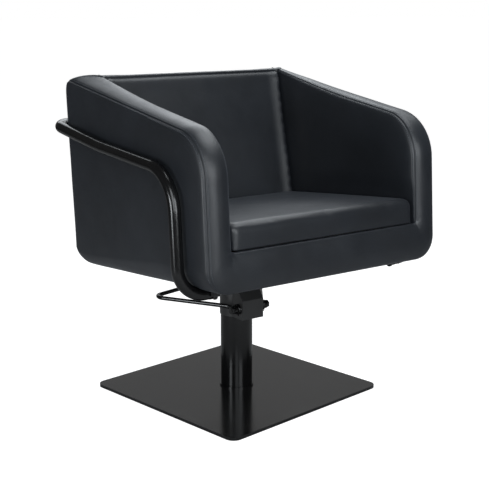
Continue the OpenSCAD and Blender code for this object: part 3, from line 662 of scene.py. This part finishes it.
def build_shell():
    """The sides, wrapped under the seat base, and round the back corners up to the back panel."""
    stations = side_stations()
    heights = 1 - edge_spaced(PANEL, 9) / PANEL
    left, normals = [], []
    arc_steps = np.radians(np.linspace(0, 90, 16))
    floor_shares = np.linspace(1, 0, 14)[1:]
    tail = BACK - REAR_UNDER_R
    for y, inset, top, a in stations:
        past = min(max(y - tail, 0.0) / REAR_UNDER_R, 1.0)
        foot = REAR_UNDER_R * (1 - math.sqrt(1 - past * past))
        rear_turn = math.asin(past)
        # the lower side corner is tighter toward the back than at the front
        r = UNDER_R - 22 * float(smooth((y + 250) / (tail + 250)))
        r += (BR - r) * float(smooth(a / (math.pi / 2)))
        x, low = SEAM_X - inset, foot + r
        row, nrow = [], []
        for h in heights:
            row.append((-x, y, low + (top - low) * h))
            nrow.append((-math.cos(a), math.sin(a), 0))
        for b in arc_steps[1:]:
            s, c = math.sin(b), math.cos(b)
            row.append((-x + r - r * c, y, low - (r - SEAM_UP) * s))
            aside, behind = -c * math.cos(a), c * math.sin(a) + s * math.sin(rear_turn)
            nrow.append((aside, behind, -s * math.cos(rear_turn)))
        for share in floor_shares:
            row.append(((-x + r) * share, y, foot + SEAM_UP))
            nrow.append((0, math.sin(rear_turn), -math.cos(rear_turn)))
        left.append(row)
        normals.append(nrow)
    p, nrm = np.array(left), np.array(normals)
    nrm /= np.linalg.norm(nrm, axis=2)[..., None]
    # the sides swell out past the body's width, and less toward the bottom
    side_puff = SEAM_IN + 1.2
    level = (1 + nrm[..., 2]).clip(0, 1)
    puff = np.where(nrm[..., 2] < -0.01, SEAM_UP + (side_puff - SEAM_UP) * level, side_puff)
    sewn, gap = sew(p, nrm, puff.ravel(), 9.0)
    # the underside stays flat under the dust cover
    flat = gap > 12
    flat[:, :len(heights) + len(arc_steps) - 1] = False
    sewn = np.where(flat[..., None], p, sewn)
    pieces = []
    for sign, name in ((1, "left"), (-1, "right")):
        q = sewn * np.array([sign, 1, 1])
        tuck = q[:, :1] + np.array([3.0 * sign, 0, -3.0])
        front = q[:1] + np.array([0, 4.0, 0])
        q = np.concatenate([front, q], 0)
        tuck = np.concatenate([tuck[:1] + np.array([0, 4.0, 0]), tuck], 0)
        full = np.concatenate([tuck, q], 1)
        centre = Vector((0, 0, BODY_Z + 0.2))
        obj = leather_sheet(f"side_leather_{name}", full, toward=lambda c: c - centre)
        # a lighter strip beside the seams: partly wear, partly painted highlight
        wear_and_highlight = np.zeros(full.shape[:2])
        wear_and_highlight[1:, 1:] = 0.5 * seam_wear_and_highlight(gap)
        set_wear_and_highlight(obj, wear_and_highlight)
        pieces.append(obj)
    return pieces


shell_left, shell_right = build_shell()


def build_inner(sign, name):
    """An arm's inner panel, from its seam down behind the cushion."""
    ys = sorted(set([round(float(y), 3) for y in arc_y] + [FRONT + s for s in EDGE_STEPS]
                    + [float(y) for y in np.linspace(arc_y[-1] + 6, PAD_TOP_Y + 22, 60)]))
    low = SEAT_Z - 8
    shares = edge_spaced(PANEL, 8) / PANEL
    rows = []
    for y in ys:
        top = outline_top(y) + float(inner_lift(min(y, PAD_TOP_Y)))
        rows.append([(-INNER_X, y, top - (top - low) * share) for share in shares])
    p = np.array(rows)
    nrm = np.zeros_like(p)
    nrm[..., 0] = 1
    sewn, gap = sew(p, nrm, 0.0, 8.0)
    # the padding rolls inward below the seam, less toward the backrest and not at all beside the cushion
    clear = smooth((p[..., 2] - cushion_high[2] - 6) / 45)
    roll = 5.5 * (1 - np.exp(-gap / 9)) * clear * (1 - 0.35 * smooth((gap - 30) / 120))
    sewn[..., 0] += roll * (1 - 0.8 * smooth((p[..., 1] - 20) / 90))
    q = sewn * np.array([sign, 1, 1])
    tuck = q[:, :1] + np.array([-3.0 * sign, 0, -3.0])
    full = np.concatenate([tuck, q], 1)
    front = full[:1] + np.array([-3.0 * sign, 3.0, 0])
    full = np.concatenate([front, full], 0)
    obj = leather_sheet(f"inner_leather_{name}", full, toward=lambda c: Vector((sign, 0, 0)))
    # a lighter strip beside the seam: partly wear, partly painted highlight
    wear_and_highlight = np.zeros(full.shape[:2])
    wear_and_highlight[1:, 1:] = 0.4 * seam_wear_and_highlight(gap)
    set_wear_and_highlight(obj, wear_and_highlight)
    return obj


inner_left = build_inner(1, "left")
inner_right = build_inner(-1, "right")


def build_back():
    """The back panel, with round lower corners."""
    height = 380
    share = edge_spaced(height, 9) / height
    rows = []
    for x in edge_spaced(2 * BX, 9) - BX:
        over = max(0.0, abs(x) - (BX - BR))
        foot = BZ + BR - math.sqrt(max(0.0, BR * BR - over * over))
        rows.append([(x, BACK, foot + (BACK_SEAM_Z - foot) * t) for t in share])
    p = np.array(rows)
    nrm = np.zeros_like(p)
    nrm[..., 1] = 1
    sewn, gap = sew(p, nrm, 3.0, 30.0)
    obj = leather_sheet("back_leather", sewn, toward=lambda c: Vector((0, 1, 0)))
    # a lighter strip beside the seams: partly wear, partly painted highlight
    set_wear_and_highlight(obj, 0.4 * seam_wear_and_highlight(gap))
    return obj


back = build_back()

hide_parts("seat_cover", "seat_foam")
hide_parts("arm_cover_left")
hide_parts("arm_cover_right")
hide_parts("arm_foam_left")
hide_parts("arm_foam_right")
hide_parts("back_cover", "back_foam")

# ---- the cushion and the backrest pad


CLOTH_FRAMES = 20
CLOTH = {
    "use_pressure": True, "uniform_pressure_force": 4.0, "quality": 6, "mass": 0.3,
    "tension_stiffness": 18, "compression_stiffness": 18, "bending_stiffness": 2.5,
}


def swell(node, name, voxel, caps):
    """The CAD solid's foam blown up as cloth. Returns the piece, its points at rest, and each point's step,
    capped on each axis of the body's frame, in millimetres."""
    obj = bpy.data.objects.new(name, NODES[node].data.copy())
    SCENE.collection.objects.link(obj)
    bpy.context.view_layer.objects.active = obj
    for other in bpy.context.selected_objects:
        other.select_set(False)
    obj.select_set(True)
    remesh = obj.modifiers.new("remesh", "REMESH")
    remesh.mode = "VOXEL"
    remesh.voxel_size = voxel
    bpy.ops.object.modifier_apply(modifier="remesh")
    rest = mesh_points(obj.data)
    moved = rest
    cloth = obj.modifiers.new("cloth", "CLOTH")
    for setting, value in CLOTH.items():
        setattr(cloth.settings, setting, value)
    cloth.settings.effector_weights.gravity = 0
    cloth.point_cache.frame_start = 1
    cloth.point_cache.frame_end = CLOTH_FRAMES
    for step_frame in range(1, CLOTH_FRAMES + 1):
        SCENE.frame_set(step_frame)
    moved = mesh_points(obj.evaluated_get(bpy.context.evaluated_depsgraph_get()).data)
    obj.modifiers.remove(cloth)
    SCENE.frame_set(1)
    step = (moved - rest) @ np.array(BODY_INV)[:3, :3].T * 1000
    for axis, cap in enumerate(caps):
        step[:, axis] = cap * np.tanh(step[:, axis] / cap)
    return obj, rest, step


def finish_soft(obj, local, replaced):
    p = to_frame(local).astype(np.float32)
    obj.data.vertices.foreach_set("co", p.ravel())
    obj.data.update()
    mod = obj.modifiers.new("even", "SMOOTH")
    mod.factor = 0.5
    mod.iterations = 3
    sub = obj.modifiers.new("soften", "SUBSURF")
    sub.levels = sub.render_levels = 1
    obj.data.materials.clear()
    obj.data.materials.append(LEATHER)
    obj.data.shade_smooth()
    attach(obj, "seat")
    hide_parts(*replaced)
    return obj


CUSHION_CORNER = 14.0
PAD_RAKE = math.radians(8.6)


def make_cushion():
    """The seat cushion: crowned, with a soft front and round upright corners, clear of the arms."""
    obj, rest, step = swell("cushion_foam", "seat_cushion", 0.005, (1.2, 1.2, 2.6))
    local = to_body(rest)
    low, high = local.min(0), local.max(0)
    x = local[:, 0] / high[0]
    y = (local[:, 1] - low[1]) / (high[1] - low[1])
    height = (local[:, 2] - low[2]) / (high[2] - low[2])
    crown = 4.5 * (1 - np.abs(x) ** 3) * (1 - np.abs(2 * y - 1) ** 3)
    local = local + step * (height > 0.02)[:, None]
    local[:, 2] += crown * smooth((height - 0.5) / 0.5)
    local[:, 1] -= 2.0 * (1 - np.abs(x) ** 4) * smooth((0.05 - y) / 0.05) * np.sin(np.pi * height.clip(0, 1))
    local[:, 2] = np.maximum(local[:, 2], SEAT_Z + 0.4)
    # round upright corners at the front, and a gap beside the arms
    side = high[0] - CUSHION_CORNER
    dx = np.maximum(np.abs(local[:, 0]) - side, 0)
    dy = np.maximum(low[1] + CUSHION_CORNER - local[:, 1], 0)
    pull = np.maximum(dx, dy) / np.maximum(np.hypot(dx, dy), 1e-6)
    turned = (dx > 0) & (dy > 0)
    local[:, 0] = np.where(turned, np.sign(local[:, 0]) * (side + dx * pull), local[:, 0])
    local[:, 1] = np.where(turned, low[1] + CUSHION_CORNER - dy * pull, local[:, 1])
    edge = smooth((np.abs(local[:, 0]) - side) / CUSHION_CORNER)
    local[:, 2] -= 5.0 * edge * smooth((height - 0.6) / 0.4)
    local[:, 0] *= (INNER_X - 4) / np.maximum(np.abs(local[:, 0]).max(), INNER_X - 4)
    return finish_soft(obj, local, ("cushion_foam", "cushion_cover"))


def make_pad():
    """The backrest pad, set in between the arms."""
    obj, rest, step = swell("backrest_foam", "backrest_pad", 0.006, (1.0, 3.0, 0.8))
    local = to_body(rest)
    low, high = local.min(0), local.max(0)
    x = local[:, 0] / high[0]
    z = (local[:, 2] - low[2]) / (high[2] - low[2])
    face = PAD_TOP_Y - (PAD_SEAM_Z - local[:, 2]) * math.tan(PAD_RAKE)
    front = smooth(1 - (local[:, 1] - face) / 25)
    local = local + step
    local[:, 1] -= 6 * (1 - np.abs(x) ** 3) * (1 - np.abs(2 * z - 1) ** 4) * front
    # its sides roll forward where they press against the arms, and its top meets the band's seam
    local[:, 1] -= 11 * ((np.abs(x) - 0.87) / 0.13).clip(0, 1) ** 1.5 * front
    local[:, 1] += 1.2 * ((z - 0.955) / 0.045).clip(0, 1) ** 2 * front
    local[:, 2] += 10.5 * smooth((z - 0.85) / 0.15)
    return finish_soft(obj, local, ("backrest_foam", "backrest_cover"))


make_cushion()
make_pad()

# ---- stitching


# A stitch's spacing, length and half width, in metres, and its outline: places along it and how thick it is.
STITCH_PITCH, STITCH_LENGTH, STITCH_WIDE = 0.0052, 0.0034, 0.00055
STITCH_PROFILE = [(-0.5, 0.15), (-0.34, 0.8), (0.0, 1.0), (0.34, 0.8), (0.5, 0.15)]


def stitches(name, lines, surfaces):
    """Rows of real stitches laid on the given pieces. Each line is frame-metre points near the surface."""
    dg = bpy.context.evaluated_depsgraph_get()
    trees = [BVHTree.FromObject(s, dg) for s in surfaces]
    verts, faces = [], []
    ring = 6
    for pts in lines:
        pts = np.asarray(pts)
        seg = np.linalg.norm(np.diff(pts, axis=0), axis=1)
        run = np.concatenate([[0], np.cumsum(seg)])
        for place in np.arange(STITCH_PITCH / 2, run[-1], STITCH_PITCH):
            p = np.array([np.interp(place, run, pts[:, k]) for k in range(3)])
            q = np.array([np.interp(min(place + 0.002, run[-1]), run, pts[:, k]) for k in range(3)])
            best = None
            for tree in trees:
                hit = tree.find_nearest(Vector(p), 0.02)
                if hit[0] is not None and (best is None or hit[3] < best[3]):
                    best = hit
            if best is None:
                continue
            d = Vector(q - p)
            if d.length < 1e-7:
                continue
            normal = best[1]
            d = (d - normal * d.dot(normal)).normalized()
            s = normal.cross(d)
            base = len(verts)
            for t, r in STITCH_PROFILE:
                c = best[0] + d * (t * STITCH_LENGTH) + normal * (0.00005 + 0.00022 * r)
                for k in range(ring):
                    a = 2 * math.pi * k / ring
                    verts.append(c + (s * math.cos(a) + normal * math.sin(a)) * (STITCH_WIDE * r))
            faces += grid_faces(len(STITCH_PROFILE), ring, close_cols=True, base=base)
            faces.append(tuple(base + k for k in reversed(range(ring))))
            end = base + (len(STITCH_PROFILE) - 1) * ring
            faces.append(tuple(end + k for k in range(ring)))
    make_object(name, verts, faces, "seat", THREAD)


def offset_line(edge, direction, distance):
    return to_frame(edge + direction / np.linalg.norm(direction, axis=1)[:, None] * distance)


on_band_out = offset_line(OUT, chord + UP * 20, STITCH_OFFSET + 0.8)
on_band_in = offset_line(INN, -chord + UP * 20, STITCH_OFFSET + 0.8)
on_side = offset_line(OUT, -UP, STITCH_OFFSET)
on_inner = offset_line(INN, -UP, STITCH_OFFSET)
# the outer rows run from the lower corners to the back's middle, the inner ones from the seat to the pad
count = len(OUT)
outer_first = APRON_STEPS + 20
inner_first = APRON_STEPS + UNDER_STEPS
inner_last = inner_first + POST_STEPS + ROUND_STEPS + TOP_STEPS + REAR_STEPS
outer_rows, inner_rows = [], []
for part in (slice(outer_first, len(half)), slice(len(half) - 1, count - outer_first + 1)):
    outer_rows += [on_band_out[part], on_side[part]]
for part in (slice(inner_first, inner_last), slice(count - inner_last, count - inner_first)):
    inner_rows += [on_band_in[part], on_inner[part]]
stitches("outer_stitching", outer_rows, [band, shell_left, shell_right, back])
stitches("inner_stitching", inner_rows, [band, inner_left, inner_right])
rim3 = np.array([(x, BACK, z) for x, z in rim])
rim_in = rim3 * np.array([1 - STITCH_OFFSET / BX, 1, 1])
rim_in[:, 2] += np.where(rim3[:, 2] < BZ + BR, STITCH_OFFSET * (1 - (rim3[:, 2] - BZ) / BR), 0)
stitches("back_stitching", [to_frame(rim_in)], [back])

# ---- rods and tubes


def route_points(route, radii, step=math.radians(4)):
    """A route with round bends as points, the same way as the CAD's."""
    pts = [Vector(route[0])]
    for i in range(1, len(route) - 1):
        before, corner, after = (Vector(route[k]) for k in (i - 1, i, i + 1))
        d0, d1 = (corner - before).normalized(), (after - corner).normalized()
        turn = d0.angle(d1)
        r = radii[i - 1]
        inward = (d1 - d0 * d1.dot(d0)).normalized()
        start = corner - d0 * r * math.tan(turn / 2)
        n = max(4, int(turn / step))
        for k in range(n + 1):
            a = turn * k / n
            pts.append(start + d0 * r * math.sin(a) + inward * r * (1 - math.cos(a)))
    pts.append(Vector(route[-1]))
    return pts


def spaced(pts, gap):
    """Adds points between any two that are at least twice gap apart."""
    out = [pts[0]]
    for a, b in zip(pts, pts[1:]):
        n = max(1, int((b - a).length / gap))
        out += [a.lerp(b, k / n) for k in range(1, n + 1)]
    return out


def sweep(pts, radius, sides, caps=True):
    """Vertices and faces of a round rod along points."""
    n = len(pts)
    tangents = [(pts[min(i + 1, n - 1)] - pts[max(i - 1, 0)]).normalized() for i in range(n)]
    side = tangents[0].orthogonal().normalized()
    verts = []
    for i, t in enumerate(tangents):
        side = (side - t * side.dot(t)).normalized()
        up = t.cross(side)
        for k in range(sides):
            a = 2 * math.pi * k / sides
            verts.append(pts[i] + (side * math.cos(a) + up * math.sin(a)) * radius)
    faces = [tuple(reversed(f)) for f in grid_faces(n, sides, close_cols=True)]
    if caps:
        faces.append(tuple(range(sides)))
        faces.append(tuple(reversed(range((n - 1) * sides, n * sides))))
    return verts, faces


# The bent tube round the body, in body millimetres. It stands off the leather, drops at the front and climbs
# toward the back, with one soft bend on the way.
TUBE_R = 11.0
TUBE_WALL = 0.002
TUBE_OFF = 7 + TUBE_R
TUBE_X = HALF_W + TUBE_OFF
TUBE_FRONT = -266
TUBE_LOW = -7
TUBE_END_X = 244
TUBE_BEND = (29, 286)
FRONT_SLOPE, REAR_SLOPE = math.radians(8.2), math.radians(11.4)
tube_back = BACK + TUBE_OFF
rear_z = TUBE_BEND[1] + (tube_back - TUBE_BEND[0]) * math.tan(REAR_SLOPE)
corner_z = TUBE_BEND[1] - (TUBE_BEND[0] - TUBE_FRONT) * math.tan(FRONT_SLOPE)
tube_side = [(TUBE_END_X, TUBE_FRONT, TUBE_LOW), (TUBE_X, TUBE_FRONT, TUBE_LOW),
             (TUBE_X, TUBE_FRONT, corner_z), (TUBE_X, *TUBE_BEND), (TUBE_X, tube_back, rear_z)]


def both_sides(points):
    """A route from one end to the middle, then mirrored to its other end."""
    return points + [(-x, y, z) for x, y, z in reversed(points)]


tube_bends = [62, 92, 300, 42]
tube_pts = spaced(route_points(both_sides(tube_side), tube_bends + tube_bends[::-1], math.radians(3)), 12)
tube_verts, tube_faces = sweep(tube_pts, TUBE_R, 32, caps=False)
tube = make_object("frame_tube", to_frame([tuple(p) for p in tube_verts]), tube_faces,
                   "seat", BLACK)
wall = tube.modifiers.new("wall", "SOLIDIFY")
wall.thickness = TUBE_WALL
wall.offset = -1
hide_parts("tube_frame")


def centre_yz(name):
    low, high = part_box(name)
    return (low.y + high.y) * 500, (low.z + high.z) * 500


# The pedal's rod, in frame millimetres, from its hub on the shaft round the back to the grip.
PEDAL_R = 5
SHAFT_Y, SHAFT_Z = centre_yz("pedal_shaft")
GRIP_Y, GRIP_Z = centre_yz("pedal_grip")
pedal_side = [(43, SHAFT_Y + 7, SHAFT_Z + 3), (50, -32, SHAFT_Z + 6), (160, GRIP_Y - 25, GRIP_Z),
              (60, GRIP_Y, GRIP_Z)]
pedal_pts = spaced(route_points(both_sides(pedal_side), [12, 20, 40, 40, 20, 12]), 9)
pedal_verts, pedal_faces = sweep(pedal_pts, PEDAL_R, 20)
pedal = make_object("pedal_loop", [tuple(p * 0.001) for p in pedal_verts], pedal_faces,
                    "pedal", BLACK)
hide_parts("pedal_bar")


def lathe_x(name, profile, y, z, body, material, sides=40):
    """A piece turned about an axis along X. The profile is a closed loop of (x, radius), in millimetres."""
    verts = []
    for x, r in profile:
        for k in range(sides):
            a = 2 * math.pi * k / sides
            verts.append((x * 0.001, (y + r * math.cos(a)) * 0.001, (z + r * math.sin(a)) * 0.001))
    faces = grid_faces(len(profile), sides, close_rows=True, close_cols=True)
    axis = Vector((0, y * 0.001, z * 0.001))
    return make_object(name, verts, faces, body, material,
                       toward=lambda c: Vector((0, c.y, c.z)) - axis)


# the rubber grip: round ends, with a groove at every rib's pitch between them
GROOVE, RIB_PITCH = 1.2, 4.4
grip_low, grip_high = (c * 1000 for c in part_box("pedal_grip"))
grip_half, grip_r = grip_high.x, (grip_high.z - grip_low.z) / 2
grip_end = [(grip_half - 4, grip_r), (grip_half - 1.5, grip_r - 0.4), (grip_half, grip_r - 2),
            (grip_half, PEDAL_R)]
profile = [(-x, r) for x, r in reversed(grip_end)]
rib = -grip_half + 8
while rib < grip_half - 8:
    profile += [(rib, grip_r), (rib + 0.5, grip_r - GROOVE)]
    profile += [(rib + 1.7, grip_r - GROOVE), (rib + 2.2, grip_r)]
    rib += RIB_PITCH
profile += grip_end
grip = lathe_x("ribbed_grip", profile, GRIP_Y, GRIP_Z, "pedal", RUBBER)
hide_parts("pedal_grip")


def make_springs():
    """Two torsion springs on the pedal shaft, each with a straight leg at both ends."""
    verts, faces = [], []
    wire, radius, turns, steps = 1.15, 11.4, 3, 84
    x0, x1 = 31.4, 36.9
    first = math.radians(200)
    leg = Vector((0, -math.sin(first), math.cos(first)))
    for sign in (-1, 1):
        coil = []
        for k in range(steps + 1):
            t = k / steps
            a = 2 * math.pi * turns * t + first
            x = sign * (x0 + (x1 - x0) * t)
            coil.append(Vector((x, SHAFT_Y + radius * math.cos(a), SHAFT_Z + radius * math.sin(a))))
        pts = [coil[0] - leg * 11 - Vector((sign * 0.2, 0, 0))] + coil + [coil[-1] + leg * 10]
        wire_verts, wire_faces = sweep(pts, wire, 10)
        base = len(verts)
        verts += [tuple(p * 0.001) for p in wire_verts]
        faces += [tuple(i + base for i in face) for face in wire_faces]
    return make_object("coil_springs", verts, faces, "seat", BLACK)


springs = make_springs()
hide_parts("return_springs")

finish_cad_nodes()


# Rounded edges of CAD nodes, in metres.
EDGES = {
    "base_plate": 0.0012, "foot_ring": 0.0008, "column_cover": 0.0006, "pump_head": 0.0008,
    "pedal_hubs": 0.0006, "hub_nuts": 0.0005, "tube_clamps": 0.0008, "mount_plate": 0.0008,
}
for name, width in EDGES.items():
    edge = NODES[name].modifiers.new("edge", "BEVEL")
    edge.width = width
    edge.segments = 3
    edge.limit_method = "ANGLE"
    edge.angle_limit = math.radians(40)

# ---- stage, light and camera

floor_mesh = bpy.data.meshes.new("studio_floor")
FLOOR_HALF = 60.0
corners = [(x * FLOOR_HALF, y * FLOOR_HALF, 0) for x, y in ((-1, -1), (1, -1), (1, 1), (-1, 1))]
floor_mesh.from_pydata(corners, [], [(0, 1, 2, 3)])
floor = bpy.data.objects.new("studio_floor", floor_mesh)
SCENE.collection.objects.link(floor)
floor.location.z = CAD_BOX[0].z - 0.0002
pale, nt, bsdf = new_material("pale_floor")
settle(bsdf, Base_Color=(0.4, 0.4, 0.4, 1), Roughness=0.8, Specular_IOR_Level=0.1)
# the studio floor is lit evenly, so that it stays white to its far edge
settle(bsdf, Emission_Color=(1, 1, 1, 1))
ray = add(nt, "ShaderNodeLightPath")
glow = add(nt, "ShaderNodeMath", operation="MULTIPLY")
glow.inputs[1].default_value = 0.97
nt.links.new(ray.outputs["Is Camera Ray"], glow.inputs[0])
nt.links.new(glow.outputs["Value"], bsdf.inputs["Emission Strength"])
floor_mesh.materials.append(pale)


COOL, WHITE = (0.92, 0.965, 1.0), (1, 1, 1)
# Each soft light's name, place, target, width and height, power in watts and colour.
SOFTBOXES = [
    ("top_light", (0.35, -0.3, 1.9), (0, 0, 0.45), (1.1, 0.8), 11, COOL),
    ("front_left_light", (-1.2, -1.8, 1.35), (0, 0, 0.45), (0.9, 1.7), 19, COOL),
    ("front_light", (-0.2, -2.2, 1.0), (0, 0, 0.45), (0.9, 1.2), 20, COOL),
    ("back_right_light", (1.45, 0.9, 2.3), (0, 0, 0.45), (2.2, 0.9), 15, COOL),
    ("rim_light", (0.8, 1.8, 1.85), (0, 0, 0.6), (2.0, 1.2), 14, COOL),
    ("backdrop_light", (2.2, 3.1, 1.25), (0.1, 0, 0.2), (4.6, 2.2), 8, WHITE),
    ("left_light", (-2.3, -0.5, 0.62), (-0.3, -0.2, 0.5), (0.6, 0.9), 19, COOL),
]
for name, place, target, size, power, colour in SOFTBOXES:
    light = bpy.data.lights.new(name, "AREA")
    light.shape = "RECTANGLE"
    light.size, light.size_y = size
    light.energy = power
    light.color = colour
    softbox = bpy.data.objects.new(name, light)
    SCENE.collection.objects.link(softbox)
    softbox.location = place
    softbox.rotation_mode = "QUATERNION"
    softbox.rotation_quaternion = (Vector(target) - Vector(place)).to_track_quat("-Z", "Y")

# the camera sees a white backdrop, while the world lights the chair only a little
world = bpy.data.worlds.new("studio")
SCENE.world = world
world.use_nodes = True
nt = world.node_tree
ray = add(nt, "ShaderNodeLightPath")
dim = settle(nt.nodes["Background"], Color=(1, 1, 1, 1), Strength=0.08)
seen = add(nt, "ShaderNodeBackground", Color=(1, 1, 1, 1), Strength=1.0)
choose = add(nt, "ShaderNodeMixShader")
nt.links.new(ray.outputs["Is Camera Ray"], choose.inputs["Fac"])
nt.links.new(dim.outputs["Background"], choose.inputs[1])
nt.links.new(seen.outputs["Background"], choose.inputs[2])
nt.links.new(choose.outputs["Shader"], nt.nodes["World Output"].inputs["Surface"])
SCENE.view_settings.view_transform = "Standard"

AZIMUTH, ELEVATION, DISTANCE = math.radians(-35.64), math.radians(12.73), 2.5
AIM = Vector((0.0156, -0.0112, 0.3554))
LENS = 77.78
camera_data = bpy.data.cameras.new("photo_camera")
camera = bpy.data.objects.new("photo_camera", camera_data)
SCENE.collection.objects.link(camera)
across_floor = math.cos(ELEVATION)
toward = Vector((math.sin(AZIMUTH) * across_floor, -math.cos(AZIMUTH) * across_floor, math.sin(ELEVATION)))
camera.location = AIM + toward * DISTANCE
camera.rotation_mode = "QUATERNION"
camera.rotation_quaternion = (-toward).to_track_quat("-Z", "Y")
camera_data.sensor_width = 36
camera_data.lens = LENS
SCENE.camera = camera
